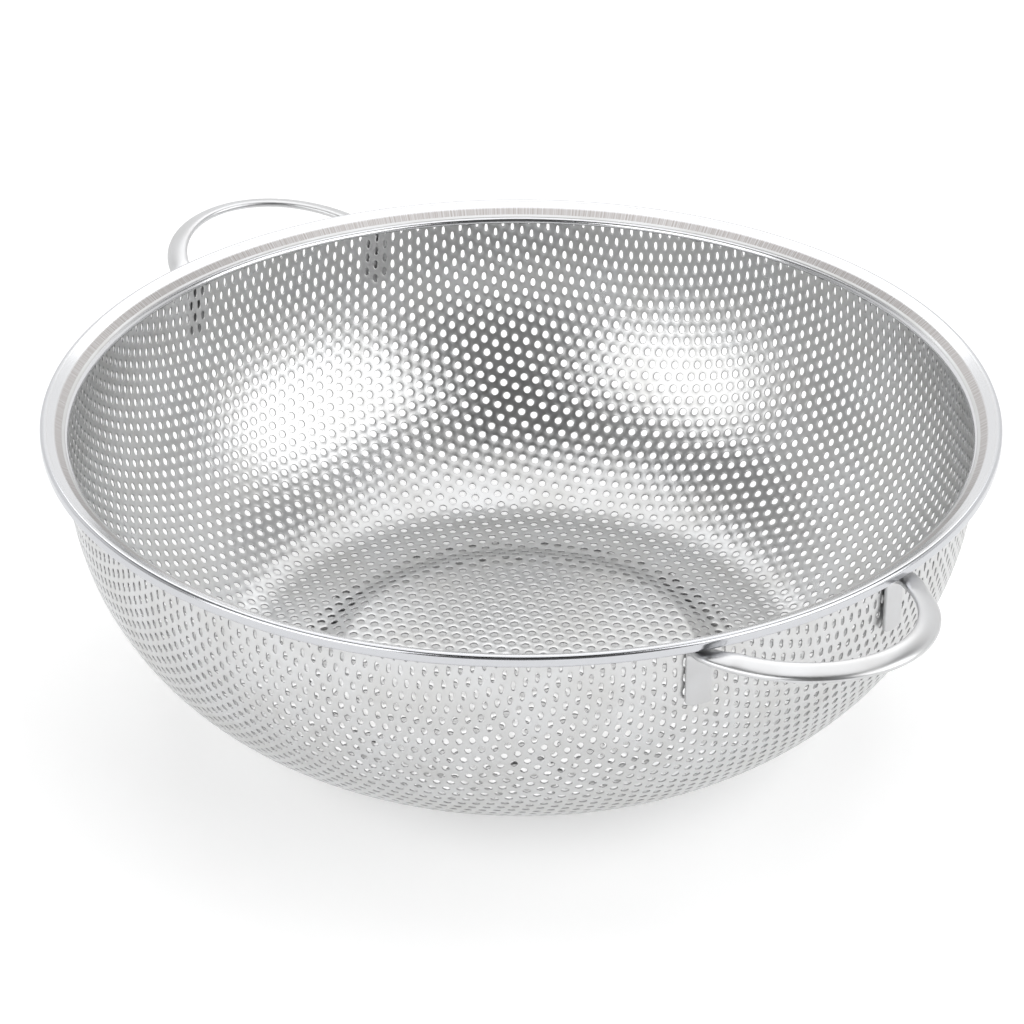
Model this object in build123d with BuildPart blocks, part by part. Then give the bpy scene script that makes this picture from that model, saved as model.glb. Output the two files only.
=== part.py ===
from build123d import *
from math import acos, asin, atan2, cos, degrees, hypot, radians, sin, sqrt, tan
import os

# Colander: a drawn, perforated bowl with a rolled rim ring, two loop handles and a foot ring.
# Origin at the centre of the plane that the foot stands on, +Z up, handles on +X and -X.
# Lengths in millimetres, angles in degrees.

# Bowl: its depth is from the top of the rim to the underside of the flat annulus of its base,
# which is inset from the wall and steps up to the disc in the middle
rim_diameter = 285.0
bowl_depth = 87.7
bowl_sheet = 0.6
straight_depth = 12.8
base_inset = 54.6
base_bend_radius = 25.0
annulus_width = 18.9
step_width = 8.0
step_rise = 2.2
step_corner_radius = 3.0

# Perforation: a triangular lattice on the flat base, staggered rows on the curved wall
hole_diameter = 2.6
hole_pitch = 4.43
hole_margin = 1.0
lattice_turn = 39.9
wall_rows = 7
wall_holes_per_row = 60
wall_rows_top = 19.9
sectors = 6

# Rim ring, a strip rolled over the bowl's edge: a skirt inside the wall, a top that slopes up and
# outwards, an upright outer face and a return below it. The flange is the bowl edge inside it
rim_sheet = 0.6
rim_inset = 8.3
rim_slope = 31.0
rim_skirt_depth = 5.6
rim_face_height = 3.7
rim_return = 3.5
rim_corner_radius = 1.5
rim_edge_radius = 0.8
rim_return_radius = 0.7
flange_inset = 1.8
fit_gap = 0.1

# Handles: the drop is from the rim's underside to the middle of the tube at its root, the leg gap
# is from the wall to the middle of the leg's end, and the tabs are set in from the loop's widest line
handle_reach = 41.5
handle_half_span = 34.9
handle_drop = 3.1
handle_tip_rise = 4.6
handle_width = 6.7
handle_thickness = 2.7
handle_section_tilt = 18.0
handle_leg_gap = 1.3
handle_leg_run = 3.1
tab_width = 7.7
tab_thickness = 1.6
tab_length = 17.6
tab_corner_radius = 1.5
tab_inset = 0.5

# Foot ring, set outside the step of the base
foot_offset = 5.0
foot_height = 8.0
foot_sheet = 0.8
foot_hem_height = 2.4
foot_tabs = 3
foot_tab_width = 26.0
foot_tab_reach = 6.4
foot_tab_corner_radius = 1.5
foot_hem_round = 0.4
foot_tab_turn = 90.0

# One overrun for cuts
overrun = 1.0

# Levels and radii that follow from the sizes above
rim_radius = rim_diameter / 2
hole_radius = hole_diameter / 2
base_level = foot_height
rim_top = base_level + bowl_depth
rim_underside = rim_top - rim_face_height
rim_slope_angle = radians(rim_slope)
rim_edge_level = rim_top - rim_edge_radius + rim_edge_radius / tan((radians(90) - rim_slope_angle) / 2)
skirt_inner_radius = rim_radius - rim_inset
wall_inner_radius = skirt_inner_radius + rim_sheet + fit_gap
wall_radius = wall_inner_radius + bowl_sheet
flange_radius = rim_radius - flange_inset
annulus_outer_radius = wall_radius - base_inset
annulus_step_radius = annulus_outer_radius - annulus_width
disc_radius = annulus_step_radius - step_width
disc_level = base_level + step_rise
step_corner_run = step_corner_radius * tan(atan2(step_rise, step_width) / 2)
disc_flat_radius = disc_radius - 2 * step_corner_run
annulus_inner_radius = annulus_step_radius + 2 * step_corner_run
foot_radius = annulus_step_radius + foot_offset

# The wall's large bend leaves the straight part at its lower end and runs smoothly into the base bend
wall_bend_level = rim_top - straight_depth
base_bend_level = base_level + base_bend_radius
bend_drop = wall_bend_level - base_bend_level
bend_shift = base_inset - base_bend_radius
wall_bend_radius = (base_inset**2 + bend_drop**2 - base_bend_radius**2) / (2 * bend_shift)
wall_bend_centre = wall_radius - wall_bend_radius
base_bend_angle = degrees(atan2(bend_drop, annulus_outer_radius - wall_bend_centre))


def slope_level(radius, depth):
    """Level of a cone parallel to the top of the rim, at a radius and at a depth square to the slope."""
    return rim_edge_level - (rim_radius - radius) * tan(rim_slope_angle) - depth / cos(rim_slope_angle)


def lattice(inner, outer):
    """Centres of the triangular hole lattice that lie between two radii."""
    reach = int(outer / hole_pitch * 2)
    centres = []
    for i in range(-reach, reach + 1):
        for j in range(-reach, reach + 1):
            along = hole_pitch * (i + j / 2)
            across = hole_pitch * j * sqrt(3) / 2
            if inner <= hypot(along, across) <= outer:
                turn = radians(lattice_turn)
                x = along * cos(turn) - across * sin(turn)
                y = along * sin(turn) + across * cos(turn)
                centres.append((x, y))
    return centres


def holed_face(inner, outer):
    """A flat face between two radii, or a disc when inner is zero, with the lattice of holes in it."""
    margin = hole_radius + hole_margin
    least = inner + margin if inner > 0 else 0
    holes = [Wire.make_circle(hole_radius, Plane((x, y, 0))) for x, y in lattice(least, outer - margin)]
    if inner > 0:
        holes.append(Wire.make_circle(inner))
    return Face(Wire.make_circle(outer), holes)


# Flat parts of the bowl with their holes, as faces at the level zero
disc_face = holed_face(0, disc_flat_radius)
annulus_face = holed_face(annulus_inner_radius, annulus_outer_radius)

# One sector of the bowl's curved wall and of the flange that the rim is rolled over, with rows of holes
with BuildPart() as wall_sector:
    with BuildSketch(Plane.XZ):
        with BuildLine():
            upper_depth = rim_sheet + fit_gap
            lower_depth = upper_depth + bowl_sheet
            outside = FilletPolyline(
                (wall_radius, wall_bend_level),
                (wall_radius, slope_level(wall_radius, lower_depth)),
                (flange_radius, slope_level(flange_radius, lower_depth)),
                radius=rim_corner_radius - lower_depth,
            )
            inside = FilletPolyline(
                (wall_inner_radius, wall_bend_level),
                (wall_inner_radius, slope_level(wall_inner_radius, upper_depth)),
                (flange_radius, slope_level(flange_radius, upper_depth)),
                radius=rim_corner_radius - upper_depth,
            )
            Line(outside @ 1, inside @ 1)
            CenterArc((wall_bend_centre, wall_bend_level), wall_bend_radius, 0, -base_bend_angle)
            CenterArc(
                (annulus_outer_radius, base_bend_level),
                base_bend_radius,
                -base_bend_angle,
                base_bend_angle - 90,
            )
            Line((annulus_outer_radius, base_level), (annulus_outer_radius, base_level + bowl_sheet))
            CenterArc(
                (annulus_outer_radius, base_bend_level),
                base_bend_radius - bowl_sheet,
                -90,
                90 - base_bend_angle,
            )
            CenterArc(
                (wall_bend_centre, wall_bend_level),
                wall_bend_radius - bowl_sheet,
                -base_bend_angle,
                base_bend_angle,
            )
        make_face()
    revolve(axis=Axis.Z, revolution_arc=360 / sectors)
    wall_hole_planes = []
    row_angle_top = degrees(asin((wall_rows_top - straight_depth) / wall_bend_radius))
    sheet_middle_radius = wall_bend_radius - bowl_sheet / 2
    holes_per_sector = wall_holes_per_row // sectors
    for row in range(wall_rows):
        angle = radians(row_angle_top + (base_bend_angle - row_angle_top) * row / (wall_rows - 1))
        radius = wall_bend_centre + sheet_middle_radius * cos(angle)
        level = wall_bend_level - sheet_middle_radius * sin(angle)
        row_shift_share = 1 / 4 if row % 2 == 0 else 3 / 4
        for step in range(holes_per_sector):
            turn = radians(360 / sectors * (step + row_shift_share) / holes_per_sector)
            wall_hole_planes.append(
                Plane(
                    origin=(radius * cos(turn), radius * sin(turn), level),
                    x_dir=(-sin(turn), cos(turn), 0),
                    z_dir=(cos(angle) * cos(turn), cos(angle) * sin(turn), -sin(angle)),
                )
            )
    with Locations(*wall_hole_planes):
        Cylinder(hole_radius, bowl_sheet + 2 * overrun, mode=Mode.SUBTRACT)

with BuildPart() as perforated_bowl:
    with PolarLocations(0, sectors):
        add(wall_sector.part)
    with BuildSketch(Plane.XY.offset(base_level)):
        add(annulus_face)
    extrude(amount=bowl_sheet)
    with BuildSketch(Plane.XZ):
        with BuildLine():
            lower = FilletPolyline(
                (annulus_inner_radius, base_level),
                (annulus_step_radius, base_level),
                (disc_radius, disc_level),
                (disc_flat_radius, disc_level),
                radius=[step_corner_radius + bowl_sheet, step_corner_radius],
            )
            upper = FilletPolyline(
                (annulus_inner_radius, base_level + bowl_sheet),
                (annulus_step_radius, base_level + bowl_sheet),
                (disc_radius, disc_level + bowl_sheet),
                (disc_flat_radius, disc_level + bowl_sheet),
                radius=[step_corner_radius, step_corner_radius + bowl_sheet],
            )
            Line(lower @ 0, upper @ 0)
            Line(lower @ 1, upper @ 1)
        make_face()
    revolve(axis=Axis.Z)
    with BuildSketch(Plane.XY.offset(disc_level)):
        add(disc_face)
    extrude(amount=bowl_sheet)
perforated_bowl.part.label = "perforated_bowl"

# Rim ring: one strip of sheet, from the skirt over the sloping top and down the outer face
with BuildPart() as rim_ring:
    with BuildSketch(Plane.XZ):
        with BuildLine():
            visible_side = FilletPolyline(
                (skirt_inner_radius, rim_top - rim_skirt_depth),
                (skirt_inner_radius, slope_level(skirt_inner_radius, 0)),
                (rim_radius, rim_edge_level),
                (rim_radius, rim_underside),
                (rim_radius - rim_return, rim_underside),
                radius=[rim_corner_radius, rim_edge_radius, rim_return_radius],
            )
            hidden_side = FilletPolyline(
                (skirt_inner_radius + rim_sheet, rim_top - rim_skirt_depth),
                (skirt_inner_radius + rim_sheet, slope_level(skirt_inner_radius + rim_sheet, rim_sheet)),
                (rim_radius - rim_sheet, slope_level(rim_radius - rim_sheet, rim_sheet)),
                (rim_radius - rim_sheet, rim_underside + rim_sheet),
                (rim_radius - rim_return, rim_underside + rim_sheet),
                radius=[
                    rim_corner_radius - rim_sheet,
                    rim_edge_radius - rim_sheet,
                    rim_return_radius - rim_sheet,
                ],
            )
            Line(visible_side @ 0, hidden_side @ 0)
            Line(visible_side @ 1, hidden_side @ 1)
        make_face()
    revolve(axis=Axis.Z)
rim_ring.part.label = "rim_ring"

# Handle: a flattened tube along half an ellipse that rises towards its tip, with a weld tab at each end
handle_leg_start = sqrt((wall_radius + handle_leg_gap) ** 2 - handle_half_span**2)
handle_centre = handle_leg_start - handle_leg_run
handle_rise = atan2(handle_tip_rise, handle_reach)
loop_plane = Plane(
    origin=(handle_centre, 0, rim_underside - handle_drop),
    x_dir=(cos(handle_rise), 0, sin(handle_rise)),
    z_dir=(-sin(handle_rise), 0, cos(handle_rise)),
)
leg_angle = degrees(acos(handle_leg_run / handle_reach))
tab_angle = degrees((handle_half_span - tab_inset) / (wall_radius + tab_thickness / 2))
fold_radius = handle_thickness / 2
fold_centre = wall_radius + fit_gap + fold_radius

with BuildPart() as right_handle:
    with BuildLine(loop_plane):
        loop = EllipticalCenterArc(
            (0, 0), handle_reach / cos(handle_rise), handle_half_span, -leg_angle, arc_size=2 * leg_angle
        )
    with BuildSketch(Plane(origin=loop @ 0, x_dir=loop_plane.z_dir, z_dir=loop % 0)):
        Ellipse(handle_thickness / 2, handle_width / 2, rotation=handle_section_tilt)
    sweep(path=loop)
    fold_level = (loop @ 0).Z
    for side in (-1, 1):
        turn = radians(side * tab_angle)
        outward = Vector(cos(turn), sin(turn), 0)
        along = Vector(-sin(turn), cos(turn), 0)
        tab_seat = outward * (wall_radius + fit_gap)
        with BuildSketch(Plane(origin=tab_seat + Vector(0, 0, fold_level), x_dir=along, z_dir=outward)):
            with Locations((0, -tab_length / 2)):
                RectangleRounded(tab_width, tab_length, tab_corner_radius)
            with Locations((0, -tab_corner_radius)):
                Rectangle(tab_width, 2 * tab_corner_radius)
        extrude(amount=tab_thickness)
        with Locations(
            Plane(origin=outward * fold_centre + Vector(0, 0, fold_level), x_dir=outward, z_dir=along)
        ):
            Cylinder(fold_radius, tab_width)
right_handle.part.label = "right_handle"

with BuildPart() as left_handle:
    with Locations(Location((0, 0, 0), (0, 0, 180))):
        add(right_handle.part)
left_handle.part.label = "left_handle"

# Foot ring: a strip on edge, hemmed below, with weld tabs turned inwards under the bowl
with BuildPart() as foot_ring:
    with BuildSketch(Plane.XZ):
        band_inner_radius = foot_radius - foot_sheet
        hem_inner_radius = band_inner_radius - foot_sheet
        with Locations((band_inner_radius, 0)):
            Rectangle(foot_sheet, foot_height, align=(Align.MIN, Align.MIN))
        with Locations((hem_inner_radius, 0)):
            Rectangle(foot_sheet, foot_hem_height, align=(Align.MIN, Align.MIN))
        fillet(vertices().group_by(Axis.Y)[0], foot_hem_round)
    revolve(axis=Axis.Z)
    with BuildSketch(Plane.XY.offset(foot_height - foot_sheet)):
        with PolarLocations(band_inner_radius, foot_tabs, start_angle=foot_tab_turn):
            with Locations((-foot_tab_reach / 2, 0)):
                RectangleRounded(foot_tab_reach + foot_sheet, foot_tab_width, foot_tab_corner_radius)
    extrude(amount=foot_sheet)
foot_ring.part.label = "foot_ring"

os.makedirs("parts", exist_ok=True)
export_step(perforated_bowl.part, "parts/perforated_bowl.step")
export_step(rim_ring.part, "parts/rim_ring.step")
export_step(right_handle.part, "parts/right_handle.step")
export_step(left_handle.part, "parts/left_handle.step")
export_step(foot_ring.part, "parts/foot_ring.step")
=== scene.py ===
"""Perforated steel colander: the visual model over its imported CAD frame, with a plain studio."""

import logging
from dataclasses import dataclass
from enum import Enum

import bpy
import numpy as np
from mathutils import Matrix

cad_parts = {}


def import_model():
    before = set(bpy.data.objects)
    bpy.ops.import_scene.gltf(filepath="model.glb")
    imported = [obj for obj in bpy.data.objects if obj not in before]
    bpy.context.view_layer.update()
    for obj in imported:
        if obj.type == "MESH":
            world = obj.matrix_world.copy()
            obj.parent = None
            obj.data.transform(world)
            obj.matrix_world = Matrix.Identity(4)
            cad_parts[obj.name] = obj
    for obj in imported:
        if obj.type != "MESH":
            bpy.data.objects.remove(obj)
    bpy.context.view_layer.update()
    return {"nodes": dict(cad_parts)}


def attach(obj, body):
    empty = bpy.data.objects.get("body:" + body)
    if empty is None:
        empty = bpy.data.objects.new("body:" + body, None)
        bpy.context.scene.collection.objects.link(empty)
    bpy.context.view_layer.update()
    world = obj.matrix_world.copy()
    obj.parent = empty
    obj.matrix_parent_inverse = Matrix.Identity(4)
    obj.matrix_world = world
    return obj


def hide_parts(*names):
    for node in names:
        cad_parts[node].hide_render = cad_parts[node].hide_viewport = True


MM = 0.001
LEAST_ARC_POINTS = 8
TOUCHING = 1e-9
TINY = 1e-6
PLACES = 6
log = logging.getLogger("colander")


class Slot(Enum):
    """Material slot names of the record, one for each kind of piece."""

    BOWL = "bowl_steel"
    RIM = "rim_steel"
    HANDLE = "handle_steel"


# Curves and meshes


def rounded(points: np.ndarray, radii: list[float], step: float) -> np.ndarray:
    """A polyline whose inner corners are rounded.

    At each corner the arc starts and ends at radius * tan(turn / 2) from the corner, along its two runs.

    Args:
        points: The corners, one row each, in millimetres.
        radii: The radius at each inner corner.
        step: The spacing of points along runs and arcs.

    Returns:
        The points along the rounded line.
    """
    made = [points[:1]]
    for corner, radius in zip(range(1, len(points) - 1), radii, strict=True):
        before = points[corner] - points[corner - 1]
        after = points[corner + 1] - points[corner]
        before = before / np.linalg.norm(before)
        after = after / np.linalg.norm(after)
        turn = np.arccos(np.clip(before @ after, -1, 1))
        reach = radius * np.tan(turn / 2)
        side = after - before * (before @ after)
        side = side / np.linalg.norm(side)
        count = max(int(radius * turn / step), LEAST_ARC_POINTS)
        angles = np.linspace(0, turn, count)[:, None]
        start = points[corner] - before * reach
        made.append(start + before * radius * np.sin(angles) + side * radius * (1 - np.cos(angles)))
    made.append(points[-1:])
    return resampled(np.concatenate(made), step)


def arc(centre: tuple[float, float], radius: float, start: float, end: float, step: float) -> np.ndarray:
    """Points along a circular arc: the centre plus the radius times the cosine and sine of each angle.

    Args:
        centre: The arc's centre, in millimetres.
        radius: Its radius.
        start: Angle of its first point, in degrees.
        end: Angle of its last point.
        step: The spacing of points along it.

    Returns:
        The points, one row each.
    """
    count = max(int(abs(np.radians(end - start)) * radius / step), LEAST_ARC_POINTS)
    angles = np.radians(np.linspace(start, end, count))
    return np.stack([centre[0] + radius * np.cos(angles), centre[1] + radius * np.sin(angles)], axis=1)


def run_lengths(points: np.ndarray) -> np.ndarray:
    """Distance along a line of points, from its first one."""
    steps = np.linalg.norm(np.diff(points, axis=0), axis=1)
    return np.concatenate([[0], np.cumsum(steps)])


def resampled(points: np.ndarray, step: float) -> np.ndarray:
    """The line with points added on its runs, so that none is longer than the step.

    Args:
        points: The line's points, one row each.
        step: The longest run that is left.

    Returns:
        The line's own points and the added ones, in order.
    """
    lengths = run_lengths(points)
    keep = np.concatenate([[True], np.diff(lengths) > TOUCHING])
    points, lengths = points[keep], lengths[keep]
    extra = np.concatenate([lengths, np.arange(0, lengths[-1], step)])
    at = np.unique(np.round(extra, PLACES))
    return np.stack([np.interp(at, lengths, points[:, axis]) for axis in range(points.shape[1])], axis=1)


def unit(vectors: np.ndarray) -> np.ndarray:
    """The vectors at a length of one."""
    return vectors / np.linalg.norm(vectors, axis=-1, keepdims=True)


def grid_faces(rows: int, columns: int, close_rows: bool, close_columns: bool) -> np.ndarray:
    """Four-sided faces of a grid of points, numbered row by row.

    Args:
        rows: Number of rows of points.
        columns: Number of points in each row.
        close_rows: Whether the last row joins the first.
        close_columns: Whether each row's last point joins its first.

    Returns:
        One row of four point numbers per face.
    """
    row = np.arange(rows if close_rows else rows - 1)[:, None]
    column = np.arange(columns if close_columns else columns - 1)[None, :]
    next_row = (row + 1) % rows
    next_column = (column + 1) % columns
    corners = [
        row * columns + column,
        next_row * columns + column,
        next_row * columns + next_column,
        row * columns + next_column,
    ]
    return np.stack([corner.reshape(-1) for corner in corners], axis=1)


@dataclass
class Shape:
    """A mesh under way: points in millimetres, four-sided faces, and values per point.

    The flat positions are those in the blank, and become the sheet's UV map.
    """

    points: np.ndarray
    faces: np.ndarray
    normals: np.ndarray | None = None
    flat: np.ndarray | None = None
    values: dict[str, np.ndarray] | None = None

    def to_object(self, name: str, material: bpy.types.Material, slot: Slot) -> bpy.types.Object:
        """Makes the Blender object, which rides on the part's body.

        Args:
            name: The object's name.
            material: Its finish.
            slot: The record's material slot that the finish belongs to; not used.

        Returns:
            The object, at the origin, with its place in its mesh.
        """
        mesh = bpy.data.meshes.new(name)
        mesh.vertices.add(len(self.points))
        mesh.vertices.foreach_set("co", (self.points * MM).astype(np.float32).ravel())
        mesh.loops.add(self.faces.size)
        mesh.loops.foreach_set("vertex_index", self.faces.astype(np.int32).ravel())
        mesh.polygons.add(len(self.faces))
        starts = np.arange(0, self.faces.size, 4, dtype=np.int32)
        mesh.polygons.foreach_set("loop_start", starts)
        mesh.polygons.foreach_set("use_smooth", np.ones(len(self.faces), dtype=bool))
        if self.flat is not None:
            layer = mesh.uv_layers.new(name="sheet")
            layer.data.foreach_set("uv", (self.flat[self.faces.ravel()] * MM).astype(np.float32).ravel())
        for key, value in (self.values or {}).items():
            attribute = mesh.attributes.new(key, "FLOAT", "POINT")
            attribute.data.foreach_set("value", value.astype(np.float32))
        mesh.update(calc_edges=True)
        mesh.validate()
        if self.normals is not None:
            mesh.normals_split_custom_set_from_vertices(self.normals.tolist())
        mesh.materials.append(material)
        made = bpy.data.objects.new(name, mesh)
        bpy.context.scene.collection.objects.link(made)
        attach(made, "root")
        log.info("%s: %d faces", name, len(self.faces))
        return made


def revolved(profile: np.ndarray, turns: int) -> Shape:
    """A closed profile of radius and level, turned all the way round the Z axis.

    Args:
        profile: Points of radius and level, counter-clockwise where radius runs right and level up.
        turns: Number of steps round the axis.

    Returns:
        The ring's shape, with faces outward.
    """
    angles = np.linspace(0, 2 * np.pi, turns, endpoint=False)[:, None]
    radius = profile[:, 0][None, :]
    level = np.broadcast_to(profile[:, 1][None, :], (turns, len(profile)))
    points = np.stack([radius * np.cos(angles), radius * np.sin(angles), level], axis=-1)
    faces = grid_faces(turns, len(profile), True, True)
    return Shape(points.reshape(-1, 3), faces)


# Bowl


@dataclass(frozen=True)
class BowlSizes:
    """Sizes of the bowl's sheet at its middle, in millimetres and degrees."""

    disc_radius: float = 54.0
    disc_level: float = 10.5
    step_radius: float = 62.0
    annulus_level: float = 8.3
    annulus_radius: float = 80.9
    step_corner: float = 3.3
    base_bend_radius: float = 24.7
    wall_bend_radius: float = 81.56
    wall_bend_centre: float = 53.64
    wall_bend_level: float = 82.9
    bend_angle: float = 61.35
    corner_level: float = 91.7
    corner_radius: float = 0.9
    flange_radius: float = 140.7
    flange_level: float = 95.0
    half_sheet: float = 0.3
    flange_cover: float = 0.02
    step: float = 0.3


@dataclass(frozen=True)
class HoleSizes:
    """The lattice of holes, measured along the sheet, in millimetres and degrees."""

    pitch: float = 4.43
    turn: float = 39.9
    shift_along: float = 0.344
    shift_across: float = 0.03
    width: float = 2.64
    height: float = 2.64
    lip: float = 0.15
    lip_depth: float = 0.09
    waist: float = 0.19
    edge_tilt: float = 6.0
    lip_tilt: float = 48.0
    # Share of the painted hole-wall shade that the lips take.
    lip_shade_share: float = 0.45
    stretch_start: float = 125.0
    stretch_run: float = 57.0
    narrowing: float = 1.1
    lengthening: float = 0.45
    draw_start: float = 120.0
    draw_run: float = 65.0
    draw_reach: float = 2.6
    draw_power: float = 2.6
    narrowing_power: float = 1.7
    last_run: float = 190.0
    edge_overlap: float = 1.2


class Bowl:
    """The drawn bowl: one sheet with its real lattice of holes, mapped from the flat blank."""

    # A cell's corners and the middles of its sides, in sixths of the pitch along the two rows
    CORNERS = np.array(
        [(3, 0), (2, 2), (0, 3), (-2, 4), (-3, 3), (-4, 2)]
        + [(-3, 0), (-2, -2), (0, -3), (2, -4), (3, -3), (4, -2)]
    )
    CORNER_PARTS = 6
    SIDES = 12
    SECTORS = 6
    FLANGE_TURNS = 512
    KEY_SHIFT = 4000
    KEY_STRIDE = 10000
    LATTICE_REACH_SHARE = 1.3

    def __init__(self, sizes: BowlSizes, holes: HoleSizes) -> None:
        """Lays out the middle line of the sheet, from the axis to the edge under the rim.

        Args:
            sizes: Sizes of the sheet.
            holes: Sizes of its lattice of holes.
        """
        self.sizes = sizes
        self.holes = holes
        self.profile = self.middle_line()
        self.lengths = run_lengths(self.profile)
        tangent = unit(np.gradient(self.profile, self.lengths, axis=0))
        self.upward = np.stack([-tangent[:, 1], tangent[:, 0]], axis=1)
        self.flat_radii = self.drawn(self.lengths)

    def middle_line(self) -> np.ndarray:
        """Radius and level along the sheet's middle: disc, step, annulus, two bends, flange.

        Returns:
            The points, from the axis outwards.
        """
        s = self.sizes
        corners = np.array(
            [
                (0, s.disc_level),
                (s.disc_radius, s.disc_level),
                (s.step_radius, s.annulus_level),
                (s.annulus_radius, s.annulus_level),
            ]
        )
        base = rounded(corners, [s.step_corner, s.step_corner], s.step)
        bend_start = (s.annulus_radius, s.annulus_level + s.base_bend_radius)
        base_bend = arc(bend_start, s.base_bend_radius, -90, -s.bend_angle, s.step)
        wall_centre = (s.wall_bend_centre, s.wall_bend_level)
        wall_bend = arc(wall_centre, s.wall_bend_radius, -s.bend_angle, 0, s.step)
        wall_radius = s.wall_bend_centre + s.wall_bend_radius
        top = np.array(
            [
                (wall_radius, s.wall_bend_level),
                (wall_radius, s.corner_level),
                (s.flange_radius, s.flange_level),
            ]
        )
        flange = rounded(top, [s.corner_radius], s.step)
        return resampled(np.concatenate([base, base_bend[1:], wall_bend[1:], flange[1:]]), s.step)

    def drawn(self, length: np.ndarray) -> np.ndarray:
        """Radius in the flat blank of a point at a length along the sheet.

        The sheet keeps its length as far as draw_start, and beyond it is drawn out by
        draw_reach * ((length - draw_start) / draw_run) to the power draw_power.

        Args:
            length: Distance along the sheet's middle line from the axis.

        Returns:
            Distance from the axis in the blank.
        """
        h = self.holes
        beyond = np.clip(length - h.draw_start, 0, None) / h.draw_run
        return length - h.draw_reach * beyond**h.draw_power

    def place(self, flat: np.ndarray, side: float) -> tuple[np.ndarray, np.ndarray]:
        """Points on the sheet from points of the flat blank.

        A point keeps its azimuth. Its distance from the axis in the blank gives its length along the
        middle line, and the side moves it square to the sheet.

        Args:
            flat: Positions in the blank, one row each.
            side: Distance from the middle, towards the inside where positive.

        Returns:
            The points and the sheet's upward directions there.
        """
        radius = np.hypot(flat[..., 0], flat[..., 1])
        azimuth = np.arctan2(flat[..., 1], flat[..., 0])
        length = np.interp(radius, self.flat_radii, self.lengths)
        out = np.interp(length, self.lengths, self.profile[:, 0])
        level = np.interp(length, self.lengths, self.profile[:, 1])
        up_out = np.interp(length, self.lengths, self.upward[:, 0])
        up_level = np.interp(length, self.lengths, self.upward[:, 1])
        across, along = np.cos(azimuth), np.sin(azimuth)
        upward = unit(np.stack([up_out * across, up_out * along, up_level], axis=-1))
        points = np.stack([out * across, out * along, level], axis=-1) + upward * side
        return points, upward

    def lattice(self) -> tuple[np.ndarray, np.ndarray]:
        """Every hole from the axis out to under the rim.

        Returns:
            The holes' numbers along the lattice's two rows, and their flat centres.
        """
        h = self.holes
        reach = int(self.flat_radii[-1] / h.pitch * self.LATTICE_REACH_SHARE)
        i, j = np.meshgrid(np.arange(-reach, reach + 1), np.arange(-reach, reach + 1), indexing="ij")
        numbers = np.stack([i.ravel(), j.ravel()], axis=1)
        centres = self.flat_position(numbers)
        keep = np.hypot(centres[:, 0], centres[:, 1]) < self.drawn(np.array(h.last_run))
        return numbers[keep], centres[keep]

    def flat_position(self, numbers: np.ndarray) -> np.ndarray:
        """Position in the blank of lattice numbers.

        It is the pitch times the shifted numbers along two rows, at turn and at turn + 60 degrees.

        Args:
            numbers: Numbers along the two rows, one pair to each row of the array.

        Returns:
            Flat positions, in millimetres.
        """
        h = self.holes
        shifted = numbers + np.array([h.shift_along, h.shift_across])
        along = np.radians(h.turn)
        across = np.radians(h.turn + 60)
        rows = np.array([[np.cos(along), np.sin(along)], [np.cos(across), np.sin(across)]])
        return h.pitch * shifted @ rows

    def hole_rings(self, centres: np.ndarray, trim: float) -> np.ndarray:
        """Flat positions round each hole.

        A hole is round in the base. Up the wall it gets narrower round the bowl and slightly taller, as
        the drawn sheet does.

        Args:
            centres: Flat centres of the holes.
            trim: Distance that the ring lies inside the hole's edge.

        Returns:
            Positions, twelve to each hole.
        """
        h = self.holes
        radius = np.hypot(centres[:, 0], centres[:, 1])
        length = np.interp(radius, self.flat_radii, self.lengths)
        out = np.interp(length, self.lengths, self.profile[:, 0])
        beyond = np.clip(length - h.stretch_start, 0, None) / h.stretch_run
        half_width = (h.width - h.narrowing * beyond**h.narrowing_power) / 2 - trim
        half_height = (h.height + h.lengthening * beyond) / 2 - trim
        round_scale = np.where(radius > 1, radius / np.maximum(out, TINY), 1)
        outward = unit(centres + TOUCHING)
        sideways = np.stack([-outward[:, 1], outward[:, 0]], axis=1)
        azimuth = np.arctan2(outward[:, 1], outward[:, 0])
        spokes = 360 / self.SIDES * np.arange(self.SIDES)
        angles = np.radians(h.turn + spokes)[None, :] - azimuth[:, None]
        along = (half_height[:, None] * np.cos(angles))[..., None] * outward[:, None, :]
        across = ((half_width * round_scale)[:, None] * np.sin(angles))[..., None] * sideways[:, None, :]
        return centres[:, None, :] + along + across

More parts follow.
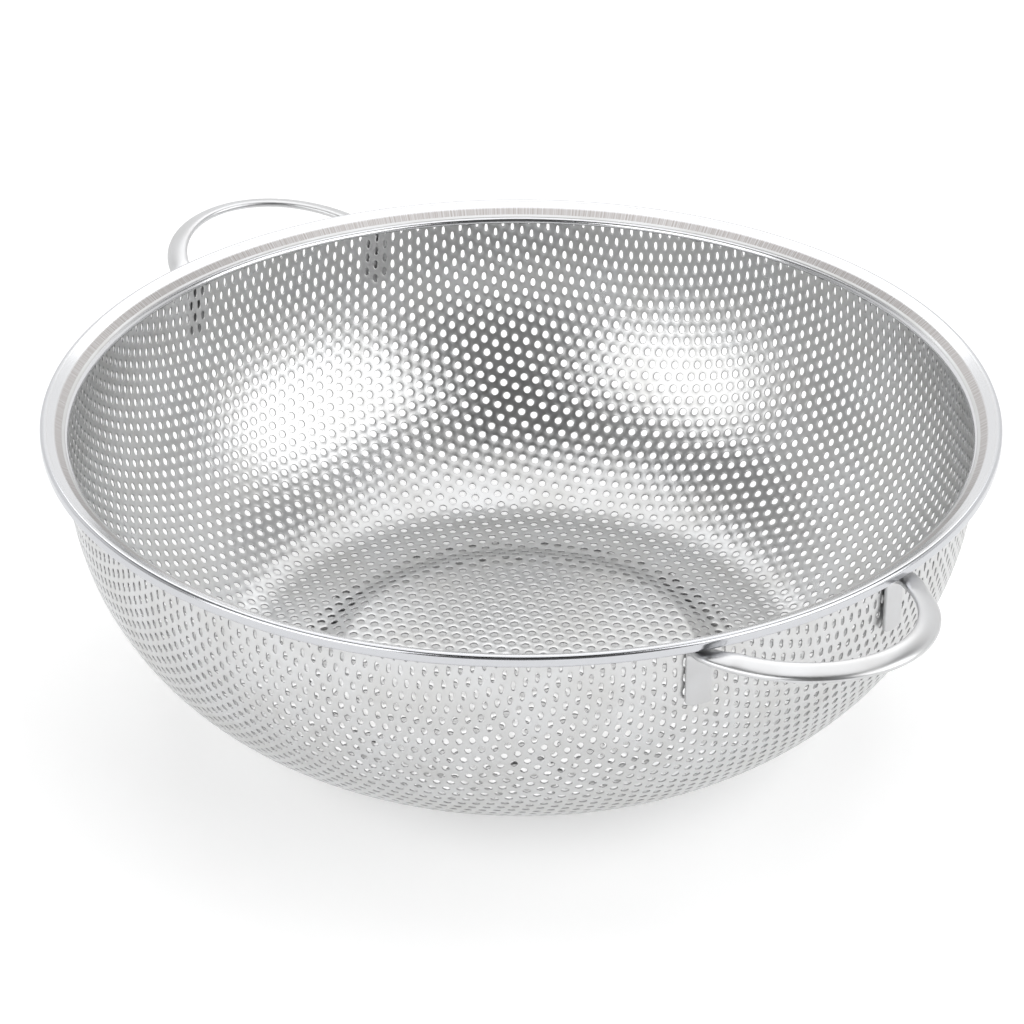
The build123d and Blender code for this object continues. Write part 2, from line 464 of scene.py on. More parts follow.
    def sector(self, numbers: np.ndarray, centres: np.ndarray) -> Shape:
        """One sector of the sheet: for each hole its cell of the lattice, with the hole through it.

        Each cell is a hexagon of twelve boundary points, shared with its neighbours. On both sides of
        the sheet the faces run from the boundary to the hole's edge, over a rounded lip and down to its
        waist. The normals lean towards the hole at its edge, which rounds the punched edge over.

        Args:
            numbers: Lattice numbers of the sector's holes.
            centres: Their flat centres.

        Returns:
            The sector's shape.
        """
        h = self.holes
        half = self.sizes.half_sheet
        keys = numbers[:, None, :] * self.CORNER_PARTS + self.CORNERS[None, :, :] + self.KEY_SHIFT
        codes = keys[..., 0] * self.KEY_STRIDE + keys[..., 1]
        single, index = np.unique(codes, return_inverse=True)
        index = index.reshape(codes.shape)
        border_keys = np.stack([single // self.KEY_STRIDE, single % self.KEY_STRIDE], axis=1)
        border_flat = self.flat_position((border_keys - self.KEY_SHIFT) / self.CORNER_PARTS)
        edge_flat = self.hole_rings(centres, 0)
        lip_flat = self.hole_rings(centres, h.lip)
        waist_flat = self.hole_rings(centres, h.waist)
        border_top, border_up = self.place(border_flat, half)
        border_low, _ = self.place(border_flat, -half)
        edge_top, edge_up = self.place(edge_flat, half)
        edge_low, _ = self.place(edge_flat, -half)
        lip_top, _ = self.place(lip_flat, half - h.lip_depth)
        lip_low, _ = self.place(lip_flat, h.lip_depth - half)
        middle, _ = self.place(centres, 0)
        waist, _ = self.place(waist_flat, 0)
        inward = middle[:, None, :] - waist
        inward = unit(inward - (inward * edge_up).sum(-1, keepdims=True) * edge_up)
        leaning = [
            unit(side * edge_up * np.cos(tilt) + inward * np.sin(tilt))
            for tilt in np.radians([h.edge_tilt, h.lip_tilt])
            for side in (1, -1)
        ]
        borders, rings = len(single), len(centres) * self.SIDES
        ring = np.arange(rings).reshape(-1, self.SIDES)
        starts = np.cumsum([0, borders, borders, rings, rings, rings, rings])
        top, low = index, index + starts[1]
        edge_a, edge_b, lip_a, lip_b, mid = (ring + start for start in starts[2:])
        loops = [top, edge_a, lip_a, mid, lip_b, edge_b, low]
        bands = list(zip(loops[:-1], loops[1:], strict=True))
        faces = [
            np.stack([a, np.roll(a, -1, 1), np.roll(b, -1, 1), b], axis=-1).reshape(-1, 4) for a, b in bands
        ]
        points = [border_top, border_low, edge_top, edge_low, lip_top, lip_low, waist]
        normals = [border_up, -border_up, *leaning, inward]
        flat = [border_flat, border_flat, edge_flat, edge_flat, lip_flat, lip_flat, waist_flat]
        return Shape(
            np.concatenate([part.reshape(-1, 3) for part in points]),
            np.concatenate(faces),
            np.concatenate([part.reshape(-1, 3) for part in normals]),
            np.concatenate([part.reshape(-1, 2) for part in flat]),
            # The last value is a painted shade mask: none on the faces, part on the lips, full at the
            # waist.
            {"hole_wall_shade": np.repeat([0.0, h.lip_shade_share, 1.0], [2 * (borders + rings), 2 * rings, rings])},
        )

    def flange(self) -> Shape:
        """The plain edge of the sheet under the rim, a closed strip where the holes end.

        Its section is the middle line, moved by half the sheet to both sides, and it turns about the axis.

        Returns:
            The strip's shape.
        """
        keep = self.lengths > self.holes.last_run - self.holes.edge_overlap
        line, up = self.profile[keep], self.upward[keep]
        thick = self.sizes.half_sheet + self.sizes.flange_cover
        loop = np.concatenate([line - up * thick, (line + up * thick)[::-1]])
        return revolved(loop, self.FLANGE_TURNS)

    def build(self, steel: bpy.types.Material) -> list[bpy.types.Object]:
        """Makes the sheet in sectors and its plain edge, in place of the CAD bowl.

        Args:
            steel: The bowl's finish.

        Returns:
            The pieces.
        """
        numbers, centres = self.lattice()
        azimuth = np.degrees(np.arctan2(centres[:, 1], centres[:, 0])) % 360
        which = (azimuth // (360 / self.SECTORS)).astype(int)
        pieces = []
        for sector in range(self.SECTORS):
            mine = which == sector
            shape = self.sector(numbers[mine], centres[mine])
            pieces.append(shape.to_object(f"bowl_sheet_{sector + 1}", steel, Slot.BOWL))
        pieces.append(self.flange().to_object("bowl_flange", steel, Slot.BOWL))
        for piece in pieces:
            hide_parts("perforated_bowl")
        log.info("bowl: %d holes", len(numbers))
        return pieces


# Rim


@dataclass(frozen=True)
class RimSizes:
    """Section of the rolled rim, in millimetres."""

    skirt_radius: float = 134.2
    skirt_level: float = 90.3
    corner_level: float = 91.33
    crease_radius: float = 138.2
    crease_level: float = 94.03
    edge_radius: float = 142.5
    edge_level: float = 96.31
    return_level: float = 92.0
    return_radius: float = 139.0
    corner: float = 1.5
    crease: float = 4.0
    edge: float = 1.2
    return_corner: float = 0.9
    sheet: float = 0.6
    step: float = 0.3


class Rim:
    """The strip rolled over the bowl's edge."""

    TURNS = 900

    def __init__(self, sizes: RimSizes) -> None:
        """Keeps the rim's sizes."""
        self.sizes = sizes

    def section(self) -> np.ndarray:
        """The strip's closed section: its visible side and the same line set in by the sheet.

        Returns:
            Points of radius and level, along the visible side and back along the hidden one.
        """
        s = self.sizes
        corners = np.array(
            [
                (s.skirt_radius, s.skirt_level),
                (s.skirt_radius, s.corner_level),
                (s.crease_radius, s.crease_level),
                (s.edge_radius, s.edge_level),
                (s.edge_radius, s.return_level),
                (s.return_radius, s.return_level),
            ]
        )
        line = rounded(corners, [s.corner, s.crease, s.edge, s.return_corner], s.step)
        tangent = unit(np.gradient(line, run_lengths(line), axis=0))
        inward = np.stack([tangent[:, 1], -tangent[:, 0]], axis=1)
        return np.concatenate([line, (line + inward * s.sheet)[::-1]])

    def build(self, steel: bpy.types.Material) -> bpy.types.Object:
        """Makes the ring in place of the CAD rim.

        Args:
            steel: The rim's finish.

        Returns:
            The piece.
        """
        ring = revolved(self.section()[::-1], self.TURNS)
        piece = ring.to_object("rim_strip", steel, Slot.RIM)
        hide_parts("rim_ring")
        return piece


# Handles


@dataclass(frozen=True)
class HandleSizes:
    """A loop handle and its weld tabs, in millimetres and degrees."""

    centre: float = 128.7
    reach: float = 41.55
    half_span: float = 34.9
    root_level: float = 89.45
    tip_rise: float = 4.14
    width: float = 6.7
    thickness: float = 2.7
    tilt: float = 18.0
    tab_turn: float = 14.46
    tab_radius: float = 136.6
    tab_low: float = 71.9
    tab_width: float = 7.7
    tab_thickness: float = 1.5
    tab_corner: float = 1.5
    fold: float = 1.9
    leg_angle: float = 66.0
    lean_start: float = 3.0
    lean_run: float = 12.0
    lean_power: float = 1.5
    full_width_before: float = 2.0
    full_width_run: float = 9.0
    tab_squareness: float = 5.0
    squareness_lost: float = 2.6
    heat_centre: float = 1.0
    heat_run: float = 4.5
    tab_fade: float = 2.0
    fold_blend: float = 1.5


class Handle:
    """A flattened bar bent to half an ellipse, its ends folded down into weld tabs."""

    ROUND = 40
    TAB_POINTS = 60
    FOLD_POINTS = 16
    LEG_POINTS = 30
    LOOP_POINTS = 90

    def __init__(self, sizes: HandleSizes, name: str, node: str, side: int) -> None:
        """Keeps what tells this handle from the other.

        Args:
            sizes: The handle's sizes.
            name: Name of the piece.
            node: The CAD node that it stands for.
            side: 1 for the right handle and -1 for the left one.
        """
        self.sizes = sizes
        self.name = name
        self.node = node
        self.side = side

    def half_path(self) -> tuple[np.ndarray, int]:
        """Centre line from the lower end of a tab to the handle's tip.

        The tab goes straight up, a quarter circle folds it outwards, and a smooth cubic joins it to the
        half ellipse, whose level rises with its reach.

        Returns:
            The points, and the number of them in the tab.
        """
        s = self.sizes
        turn = np.radians(s.tab_turn)
        out = np.array([np.cos(turn), np.sin(turn)])
        fold_low = s.root_level - s.fold
        tab_levels = np.linspace(s.tab_low, fold_low, self.TAB_POINTS)
        tab = np.stack([np.full(self.TAB_POINTS, s.tab_radius), tab_levels], axis=1)
        quarter = np.radians(np.linspace(0, 90, self.FOLD_POINTS))[1:]
        fold = np.stack(
            [s.tab_radius + s.fold * (1 - np.cos(quarter)), fold_low + s.fold * np.sin(quarter)], axis=1
        )
        climb = np.concatenate([tab, fold])
        climb = np.stack([climb[:, 0] * out[0], climb[:, 0] * out[1], climb[:, 1]], axis=1)
        join = np.radians(s.leg_angle)
        start = climb[-1, :2]
        end = np.array([s.centre + s.reach * np.cos(join), s.half_span * np.sin(join)])
        heading = np.array([s.reach * np.sin(join), -s.half_span * np.cos(join)])
        chord = np.linalg.norm(end - start)
        share = np.linspace(0, 1, self.LEG_POINTS)[1:, None]
        leg = (
            start * (2 * share**3 - 3 * share**2 + 1)
            + out * chord * (share**3 - 2 * share**2 + share)
            + end * (3 * share**2 - 2 * share**3)
            + heading / np.linalg.norm(heading) * chord * (share**3 - share**2)
        )
        sweep = np.radians(np.linspace(s.leg_angle, 0, self.LOOP_POINTS))[1:]
        loop = np.stack([s.centre + s.reach * np.cos(sweep), s.half_span * np.sin(sweep)], axis=1)
        plan = np.concatenate([leg, loop])
        fold_end = (start[0] - s.centre) / s.reach
        rise = s.root_level + s.tip_rise * ((plan[:, 0] - s.centre) / s.reach - fold_end)
        return np.concatenate([climb, np.column_stack([plan, rise])]), len(tab)

    def shape(self) -> Shape:
        """The bar lofted along its whole path.

        The section is a rounded rectangle in the tab and an ellipse-like bar in the loop, and leans by
        the tilt about its path, which puts its outer edge lower.

        Returns:
            The handle's shape, with a value that is high where welding heated it.
        """
        s = self.sizes
        half, tab_count = self.half_path()
        mirror = half[::-1][1:] * np.array([1, -1, 1])
        path = np.concatenate([half, mirror])
        count = len(path)
        lengths = run_lengths(path)
        tangent = unit(np.gradient(path, lengths, axis=0))
        from_end = np.minimum(lengths, lengths[-1] - lengths)
        past = from_end - lengths[tab_count]
        # Across the bar: round the bowl in the tabs, level and square to the path in the loop
        turn = np.radians(s.tab_turn)
        around = np.array([-np.sin(turn), np.cos(turn), 0.0])
        mirrored = np.array([np.sin(turn), np.cos(turn), 0.0])
        level_across = np.stack([-tangent[:, 1], tangent[:, 0], np.zeros(count)], axis=1)
        first = np.arange(count) < len(half)
        tab_across = np.where(first[:, None], around, mirrored)
        flip = np.where(first, 1.0, -1.0)[:, None]
        blend = np.clip(past / (s.fold * s.fold_blend), 0, 1)[:, None]
        safe = np.linalg.norm(level_across, axis=1, keepdims=True)
        level_across = np.where(safe > TINY, level_across / np.maximum(safe, TOUCHING), tab_across)
        across = unit(tab_across * flip * (1 - blend) + level_across * blend)
        thick = unit(np.cross(tangent, across))
        lean = np.radians(s.tilt) * np.clip((past - s.lean_start) / s.lean_run, 0, 1) ** s.lean_power
        across, thick = (
            across * np.cos(lean)[:, None] - thick * np.sin(lean)[:, None],
            thick * np.cos(lean)[:, None] + across * np.sin(lean)[:, None],
        )
        grow = np.clip((past + s.full_width_before) / s.full_width_run, 0, 1)
        grow = grow * grow * (3 - 2 * grow)
        half_width = (s.tab_width + (s.width - s.tab_width) * grow) / 2
        half_thick = (s.tab_thickness + (s.thickness - s.tab_thickness) * grow) / 2
        corner = np.clip(s.tab_corner - from_end, 0, None)
        half_width = half_width - s.tab_corner + np.sqrt(np.clip(s.tab_corner**2 - corner**2, 0.0, None))
        power = 2 / (s.tab_squareness - s.squareness_lost * grow)
        angles = np.linspace(0, 2 * np.pi, self.ROUND, endpoint=False)[None, :]
        wide = np.sign(np.cos(angles)) * np.abs(np.cos(angles)) ** power[:, None] * half_width[:, None]
        deep = np.sign(np.sin(angles)) * np.abs(np.sin(angles)) ** power[:, None] * half_thick[:, None]
        points = path[:, None, :] + across[:, None, :] * wide[..., None]
        points = points + thick[:, None, :] * deep[..., None]
        faces = grid_faces(count, self.ROUND, False, True)[:, ::-1]
        caps = self.caps(count)
        heat = np.exp(-((past - s.heat_centre) / s.heat_run) ** 2)
        points = points.reshape(-1, 3) * np.array([self.side, self.side, 1])
        return Shape(
            points,
            np.concatenate([faces, caps]),
            values={
                "heat": np.repeat(heat, self.ROUND),
                "tab": np.repeat(np.clip(-past / s.tab_fade, 0, 1), self.ROUND),
            },
        )

    def caps(self, count: int) -> np.ndarray:
        """Four-sided faces that close both ends of the bar, as strips between opposite points.

        Args:
            count: Number of sections along the bar.

        Returns:
            One row of four point numbers per face.
        """
        low = np.arange(self.ROUND // 2 - 1)
        strips = np.stack(
            [low, low + 1, (self.ROUND - low - 2) % self.ROUND, (self.ROUND - low - 1) % self.ROUND], axis=1
        )
        last = strips + (count - 1) * self.ROUND
        return np.concatenate([strips, last[:, ::-1]])

    def build(self, steel: bpy.types.Material) -> bpy.types.Object:
        """Makes the handle in place of its CAD node.

        Args:
            steel: The handle's finish.

        Returns:
            The piece.
        """
        piece = self.shape().to_object(self.name, steel, Slot.HANDLE)
        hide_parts(self.node)
        return piece


# Finishes


Input = bpy.types.NodeSocket | float
Colour = bpy.types.NodeSocket | tuple[float, float, float, float]


class Nodes:
    """A material's node tree, with short calls for adding nodes and joining them."""

    def __init__(self, tree: bpy.types.NodeTree) -> None:
        """Starts from an empty tree."""
        self.tree = tree
        tree.nodes.clear()

    def add(self, kind: str, inputs: dict | None = None, **settings: str) -> bpy.types.Node:
        """Adds a node.

        Args:
            kind: The node's type.
            inputs: Values or sockets by the name or number of the node's input.
            settings: The node's own options.

        Returns:
            The node.
        """
        node = self.tree.nodes.new(kind)
        for key, value in settings.items():
            setattr(node, key, value)
        for key, value in (inputs or {}).items():
            if isinstance(value, bpy.types.NodeSocket):
                self.tree.links.new(value, node.inputs[key])
            else:
                node.inputs[key].default_value = value
        return node

    def maths(self, operation: str, first: Input, second: Input) -> bpy.types.NodeSocket:
        """The result of one arithmetic step."""
        return self.add("ShaderNodeMath", {0: first, 1: second}, operation=operation).outputs[0]

    def noise(self, place: bpy.types.NodeSocket, scale: float, detail: float) -> bpy.types.NodeSocket:
        """Noise between 0 and 1 at a number of waves per metre."""
        inputs = {"Vector": place, "Scale": scale, "Detail": detail}
        return self.add("ShaderNodeTexNoise", inputs).outputs[0]

    def spread(
        self, value: Input, low: float, high: float, to_low: float, to_high: float
    ) -> bpy.types.NodeSocket:
        """A value moved from one range to another, held at both ends.

        Args:
            value: The value.
            low: Where its own range starts.
            high: Where its own range ends.
            to_low: Result at the start.
            to_high: Result at the end.

        Returns:
            The moved value.
        """
        inputs = {"Value": value, "From Min": low, "From Max": high, "To Min": to_low, "To Max": to_high}
        return self.add("ShaderNodeMapRange", inputs).outputs["Result"]

    def blend(self, share: Input, first: Colour, second: Colour) -> bpy.types.NodeSocket:
        """A colour between two, by a share.

        Args:
            share: How far it goes from the first to the second.
            first: The colour at 0.
            second: The colour at 1.

        Returns:
            The colour.
        """
        node = self.add("ShaderNodeMix", data_type="RGBA")
        for number, value in ((0, share), (6, first), (7, second)):
            if isinstance(value, bpy.types.NodeSocket):
                self.tree.links.new(value, node.inputs[number])
            else:
                node.inputs[number].default_value = value
        return node.outputs[2]


@dataclass(frozen=True)
class SteelFinish:
    """How one piece of steel looks: its tint, polish and the marks in its surface."""

    name: str
    tint: tuple[float, float, float, float]
    dull_and_dark_reflection_tint: tuple[float, float, float, float]
    roughness: float
    roughness_spread: float
    grain: float
    grain_depth: float
    grain_detail: float = 2.0
    mottle: float = 60.0
    mottle_detail: float = 4.0
    mottle_share: float = 0.6
    tint_range: tuple[float, float] = (0.35, 0.7)
    roughness_range: tuple[float, float] = (0.3, 0.7)

    def surface(
        self,
        nodes: Nodes,
        place: bpy.types.NodeSocket,
        height: bpy.types.NodeSocket | None = None,
        share: bpy.types.NodeSocket | None = None,
        shade: bpy.types.NodeSocket | None = None,
        stain_and_shade: tuple[bpy.types.NodeSocket, Colour] | None = None,
    ) -> None:
        """Adds the steel's shader.

        Args:
            nodes: The material's nodes.
            place: Object coordinates.
            height: More surface relief in millimetres, added to the grain's.
            share: Where the second tint replaces the bright one, or none for a fine mottle. On the rim this
                share paints a dark reflection.
            shade: Extra roughness.
            stain_and_shade: A share and the tint that it turns the steel to: real heat tint on the handles,
                painted shade in the bowl's holes and on the rim's outer edge.
        """
        mottle = nodes.noise(place, self.mottle, self.mottle_detail)
        fine = nodes.noise(place, self.grain, self.grain_detail)
        if share is None:
            share = nodes.spread(mottle, *self.tint_range, 0, self.mottle_share)
        tint = nodes.blend(share, self.tint, self.dull_and_dark_reflection_tint)
        roughest = self.roughness + self.roughness_spread
        rough = nodes.spread(mottle, *self.roughness_range, self.roughness, roughest)
        if shade is not None:
            rough = nodes.maths("ADD", rough, shade)
        if stain_and_shade is not None:
            # The last tint: real heat tint on the handles, painted shade in the holes and on the rim's
            # outer edge.
            tint = nodes.blend(stain_and_shade[0], tint, stain_and_shade[1])
        relief = nodes.maths("MULTIPLY", fine, self.grain_depth)
        if height is not None:
            relief = nodes.maths("ADD", relief, height)
        bump = nodes.add("ShaderNodeBump", {"Strength": 1.0, "Distance": MM, "Height": relief})
        steel = nodes.add(
            "ShaderNodeBsdfPrincipled",
            {"Base Color": tint, "Metallic": 1.0, "Roughness": rough, "Normal": bump.outputs[0]},
        )
        nodes.add("ShaderNodeOutputMaterial", {"Surface": steel.outputs[0]})


class Finishes:
    """The four finishes of the colander.

    The rim's dull band, tinted as a painted dark reflection, and its outer edge, greyed as painted shade,
    start and end at radii, in metres.
    """

    BAND_INNER = (0.1351, 0.1356)
    BAND_OUTER = (0.1379, 0.1384)
    # Painted shade on the rim's rounded outer edge, which is greyed.
    SHADED_EDGE = (0.1409, 0.1418)
    SHADED_EDGE_SHARE = 0.5
    TICKS_ROUND = 260.0
    TICK_DETAIL = 4.0
    TICK_RANGE = (0.35, 0.65)
    TICK_SHARES = (0.35, 1.0)
    TICK_DEPTH = 0.012
    BAND_ROUGHNESS = 0.16
    # Painted shade down the hole walls: the range of the mask that it spans, and its full share.
    HOLE_SHADE_RANGE = (0.2, 1.0)
    HOLE_SHADE_SHARE = 0.75
    HEAT_PATCHES = 320.0
    HEAT_DETAIL = 3.0
    HEAT_RANGE = (0.35, 0.65)
    HEAT_SHARES = (0.3, 0.9)
    TAB_ROUGHNESS = 0.18
    # Painted shade: the first grey darkens the hole walls, the second the rim's rounded outer edge; the
    # brown is the welds' real heat tint.
    HOLE_SHADE_GREY = (0.22, 0.22, 0.225, 1)
    EDGE_SHADE_GREY = (0.44, 0.45, 0.48, 1)
    HEAT_BROWN = (0.25, 0.18, 0.13, 1)

    def started(self, finish: SteelFinish) -> tuple[bpy.types.Material, Nodes, bpy.types.NodeSocket]:
        """An empty material for a finish.

        Args:
            finish: The finish.

        Returns:
            The material, its nodes and its object coordinates.
        """
        made = bpy.data.materials.new(finish.name)
        made.use_nodes = True
        nodes = Nodes(made.node_tree)
        return made, nodes, nodes.add("ShaderNodeTexCoord").outputs["Object"]

    def bowl(self) -> bpy.types.Material:
        """Bright drawn sheet, with painted shade darkening it down the walls of its holes.

        Returns:
            The material.
        """
        finish = SteelFinish(
            name="bowl_bright_sheet",
            tint=(0.64, 0.645, 0.65, 1),
            dull_and_dark_reflection_tint=(0.56, 0.555, 0.54, 1),
            roughness=0.27,
            roughness_spread=0.06,
            grain=900.0,
            grain_depth=0.006,
        )
        made, nodes, place = self.started(finish)
        # Painted shade: the hole walls turn grey, most at their waist.
        wall = nodes.add("ShaderNodeAttribute", attribute_name="hole_wall_shade").outputs["Fac"]
        hole_shade = nodes.spread(wall, *self.HOLE_SHADE_RANGE, 0.0, self.HOLE_SHADE_SHARE)
        finish.surface(nodes, place, stain_and_shade=(hole_shade, self.HOLE_SHADE_GREY))
        return made

    def rim(self) -> bpy.types.Material:
        """Polished strip, its inner slope drawn dull with fine ticks across it and tinted brown-grey as a
        painted dark reflection, its rounded outer edge greyed as painted shade.

        Returns:
            The material.
        """
        finish = SteelFinish(
            name="rim_polished_strip",
            tint=(0.70, 0.705, 0.72, 1),
            # The second tint is a painted dark reflection on the inner band.
            dull_and_dark_reflection_tint=(0.40, 0.37, 0.355, 1),
            roughness=0.15,
            roughness_spread=0.04,
            grain=1500.0,
            grain_depth=0.002,
        )
        made, nodes, place = self.started(finish)
        parts = nodes.add("ShaderNodeSeparateXYZ", {0: place}).outputs
        flat = nodes.add("ShaderNodeCombineXYZ", {"X": parts["X"], "Y": parts["Y"]}).outputs[0]
        radius = nodes.add("ShaderNodeVectorMath", {0: flat}, operation="LENGTH").outputs["Value"]
        # The inner band: rougher and bumped by the ticks, which is real, and darkened brown-grey as a
        # painted dark reflection.
        inner = nodes.spread(radius, *self.BAND_OUTER, 1.0, 0.0)
        skirt = nodes.spread(radius, *self.BAND_INNER, 0.0, 1.0)
        band = nodes.maths("MULTIPLY", inner, skirt)
        turn = nodes.maths("ARCTAN2", parts["Y"], parts["X"])
        ticks = nodes.add(
            "ShaderNodeTexNoise",
            {"W": turn, "Scale": self.TICKS_ROUND, "Detail": self.TICK_DETAIL},
            noise_dimensions="1D",
        ).outputs[0]
        marked = nodes.spread(ticks, *self.TICK_RANGE, *self.TICK_SHARES)
        share = nodes.maths("MULTIPLY", band, marked)
        # Painted shade: the rounded outer edge is greyed.
        edge = nodes.spread(radius, *self.SHADED_EDGE, 0.0, self.SHADED_EDGE_SHARE)
        shade = nodes.maths("MULTIPLY", band, self.BAND_ROUGHNESS)
        height = nodes.maths("MULTIPLY", nodes.maths("MULTIPLY", band, ticks), self.TICK_DEPTH)
        stain_and_shade = (edge, self.EDGE_SHADE_GREY)
        finish.surface(nodes, place, height=height, share=share, shade=shade, stain_and_shade=stain_and_shade)
        return made

    def handle(self) -> bpy.types.Material:
        """Bright bar with a fine grain, duller tabs and brown heat marks at the folds.

        Returns:
            The material.
        """
        finish = SteelFinish(
            name="handle_drawn_bar",
            tint=(0.62, 0.625, 0.635, 1),
            dull_and_dark_reflection_tint=(0.54, 0.535, 0.53, 1),
            roughness=0.28,
            roughness_spread=0.06,
            grain=1500.0,
            grain_depth=0.003,
        )
        made, nodes, place = self.started(finish)
        heat = nodes.add("ShaderNodeAttribute", attribute_name="heat").outputs["Fac"]
        tab = nodes.add("ShaderNodeAttribute", attribute_name="tab").outputs["Fac"]
        patches = nodes.noise(place, self.HEAT_PATCHES, self.HEAT_DETAIL)
        patchy = nodes.spread(patches, *self.HEAT_RANGE, *self.HEAT_SHARES)
        brown = nodes.maths("MULTIPLY", heat, patchy)
        shade = nodes.maths("MULTIPLY", tab, self.TAB_ROUGHNESS)
        finish.surface(nodes, place, shade=shade, stain_and_shade=(brown, self.HEAT_BROWN))
        return made

    def foot(self) -> bpy.types.Material:
        """Satin strip.

        Returns:
            The material.
        """
        finish = SteelFinish(
            name="foot_satin_strip",
            tint=(0.62, 0.62, 0.615, 1),
            dull_and_dark_reflection_tint=(0.56, 0.555, 0.55, 1),
            roughness=0.3,
            roughness_spread=0.06,
            grain=1500.0,
            grain_depth=0.003,
        )
        made, nodes, place = self.started(finish)
        finish.surface(nodes, place)
        return made


# Studio


@dataclass(frozen=True)
class SoftBox:
    """A soft light: where it stands as the camera sees it, its size in metres and its brightness."""

    name: str
    azimuth: float
    elevation: float
    distance: float
    width: float
    height: float
    brightness: float


@dataclass(frozen=True)
class View:
    """The camera's place in metres, its aim and roll in radians, and its lens in millimetres."""

    distance: float = 1.12625
    elevation: float = 0.493986
    pitch: float = -0.02842
    yaw: float = -0.002317
    roll: float = 0.002502
    lens: float = 133.0
    sensor_width: float = 36.0
    clip_start: float = 0.05


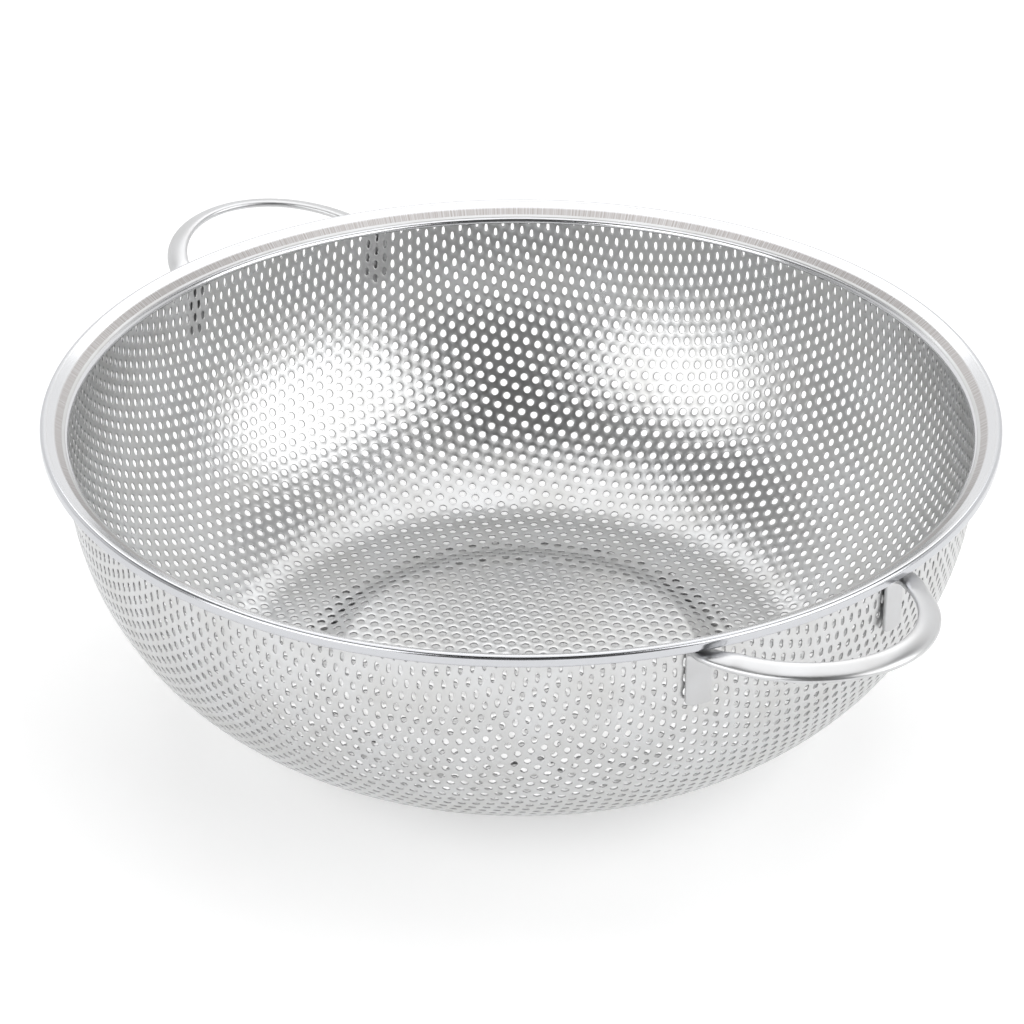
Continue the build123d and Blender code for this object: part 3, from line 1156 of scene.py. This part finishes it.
class Studio:
    """Camera, floor, surroundings and lights, all turned to the camera's side of the colander."""

    TURN = 54.9
    RIM_LEVEL = 0.0949
    TOWARDS_CAMERA = 270
    LIGHT_POWER = 4
    FLOOR_REACH = 6.0
    FLOOR_GLOW = 0.31
    WHITE = (1, 1, 1, 1)
    FLOOR_GREY = (0.86, 0.86, 0.86, 1)
    # Each range of the surroundings is: from, to, strength at the start, strength at the end
    WALL = (-0.5, 0.5, 1.05, 0.13)
    CEILING = (0.52, 0.70, 1.0, 0.22)
    FAR_WALL = (-0.75, -0.55, 1.0, 0.0)
    BOXES = (
        SoftBox("soft_box_left", 222, 25, 1.3, 1.1, 1.0, 1.6),
        SoftBox("soft_box_right", 334, 30, 1.3, 1.3, 1.1, 1.6),
        SoftBox("soft_box_above", 90, 70, 1.5, 1.6, 2.0, 1.05),
    )

    def __init__(self, view: View) -> None:
        """Keeps the camera's view."""
        self.view = view

    def direction(self, azimuth: float, elevation: float) -> np.ndarray:
        """Direction in the part's frame, with azimuth 0 to the camera's right and 90 away from it.

        Args:
            azimuth: Angle round the Z axis, in degrees.
            elevation: Angle above the floor, in degrees.

        Returns:
            The direction, at a length of one.
        """
        around = np.radians(azimuth + self.TURN)
        up = np.radians(elevation)
        return np.array([np.cos(up) * np.cos(around), np.cos(up) * np.sin(around), np.sin(up)])

    def camera(self) -> None:
        """Sets the camera that the picture is taken with."""
        view = self.view
        place = self.direction(self.TOWARDS_CAMERA, np.degrees(view.elevation)) * view.distance
        ahead = -place / np.linalg.norm(place)
        right = self.direction(0, 0)
        up = np.cross(right, ahead)
        ahead = ahead * np.cos(view.pitch) + up * np.sin(view.pitch)
        up = np.cross(right, ahead)
        ahead = ahead * np.cos(view.yaw) + right * np.sin(view.yaw)
        right = unit(np.cross(ahead, up))
        up = np.cross(right, ahead)
        right, up = (
            right * np.cos(view.roll) + up * np.sin(view.roll),
            up * np.cos(view.roll) - right * np.sin(view.roll),
        )
        place = place + np.array([0, 0, self.RIM_LEVEL])
        matrix = np.eye(4)
        matrix[:3, 0], matrix[:3, 1], matrix[:3, 2], matrix[:3, 3] = right, up, -ahead, place
        data = bpy.data.cameras.new("camera")
        data.lens = view.lens
        data.sensor_width = view.sensor_width
        data.clip_start = view.clip_start
        made = bpy.data.objects.new("camera", data)
        made.matrix_world = Matrix(matrix.tolist())
        bpy.context.scene.collection.objects.link(made)
        bpy.context.scene.camera = made

    def floor(self) -> None:
        """A wide pale floor, which is white in the picture and in the steel, and keeps the shadow."""
        mesh = bpy.data.meshes.new("floor")
        reach = self.FLOOR_REACH
        corners = [(-reach, -reach, 0), (reach, -reach, 0), (reach, reach, 0), (-reach, reach, 0)]
        mesh.from_pydata(corners, [], [(0, 1, 2, 3)])
        made = bpy.data.objects.new("floor", mesh)
        bpy.context.scene.collection.objects.link(made)
        material = bpy.data.materials.new("floor_white")
        material.use_nodes = True
        nodes = Nodes(material.node_tree)
        path = nodes.add("ShaderNodeLightPath")
        seen = nodes.maths("MAXIMUM", path.outputs["Is Camera Ray"], path.outputs["Is Glossy Ray"])
        seen = nodes.maths("MAXIMUM", seen, path.outputs["Is Transmission Ray"])
        strength = nodes.maths("MULTIPLY", seen, self.FLOOR_GLOW)
        glow = nodes.add("ShaderNodeEmission", {"Color": self.WHITE, "Strength": strength})
        matt = nodes.add("ShaderNodeBsdfDiffuse", {"Color": self.FLOOR_GREY})
        both = nodes.add("ShaderNodeAddShader", {0: glow.outputs[0], 1: matt.outputs[0]})
        nodes.add("ShaderNodeOutputMaterial", {"Surface": both.outputs[0]})
        mesh.materials.append(material)

    def surroundings(self) -> None:
        """The studio's walls: bright beyond the colander, darker behind the camera."""
        world = bpy.data.worlds.new("studio_walls")
        world.use_nodes = True
        bpy.context.scene.world = world
        nodes = Nodes(world.node_tree)
        way = nodes.add("ShaderNodeTexCoord").outputs["Generated"]
        towards = nodes.add(
            "ShaderNodeVectorMath",
            {0: way, 1: tuple(self.direction(self.TOWARDS_CAMERA, 0))},
            operation="DOT_PRODUCT",
        ).outputs["Value"]
        level = nodes.add("ShaderNodeSeparateXYZ", {0: way}).outputs["Z"]
        wall = nodes.spread(towards, *self.WALL)
        high = nodes.spread(level, *self.CEILING)
        middle = nodes.spread(towards, *self.FAR_WALL)
        strength = nodes.maths("MULTIPLY", wall, nodes.maths("MAXIMUM", high, middle))
        back = nodes.add("ShaderNodeBackground", {"Color": self.WHITE, "Strength": strength})
        nodes.add("ShaderNodeOutputWorld", {"Surface": back.outputs[0]})

    def soft_box(self, box: SoftBox) -> None:
        """Hangs one soft light, facing the colander's middle.

        Its power is its brightness times its area times LIGHT_POWER.

        Args:
            box: The light.
        """
        data = bpy.data.lights.new(box.name, "AREA")
        data.shape = "RECTANGLE"
        data.size, data.size_y = box.width, box.height
        data.energy = box.brightness * self.LIGHT_POWER * box.width * box.height
        way = self.direction(box.azimuth, box.elevation)
        across = unit(np.cross(np.array([0, 0, 1.0]), way))
        up = np.cross(way, across)
        matrix = np.eye(4)
        matrix[:3, 0], matrix[:3, 1], matrix[:3, 2] = across, up, way
        matrix[:3, 3] = way * box.distance + np.array([0, 0, self.RIM_LEVEL / 2])
        made = bpy.data.objects.new(box.name, data)
        made.matrix_world = Matrix(matrix.tolist())
        bpy.context.scene.collection.objects.link(made)

    def build(self) -> None:
        """Sets up the whole studio."""
        self.camera()
        self.floor()
        self.surroundings()
        for box in self.BOXES:
            self.soft_box(box)
        bpy.context.scene.view_settings.view_transform = "Standard"


def main() -> None:
    """Builds the colander and its studio."""
    logging.basicConfig(level=logging.INFO, format="%(message)s")
    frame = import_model()
    finishes = Finishes()
    Bowl(BowlSizes(), HoleSizes()).build(finishes.bowl())
    Rim(RimSizes()).build(finishes.rim())
    handle_steel = finishes.handle()
    Handle(HandleSizes(), "handle_bar_right", "right_handle", 1).build(handle_steel)
    Handle(HandleSizes(), "handle_bar_left", "left_handle", -1).build(handle_steel)
    foot = frame["nodes"]["foot_ring"]
    foot.data.materials.clear()
    foot.data.materials.append(finishes.foot())
    log.info("foot_ring: the CAD node in its own finish")
    Studio(View()).build()


if __name__ == "__main__":
    main()
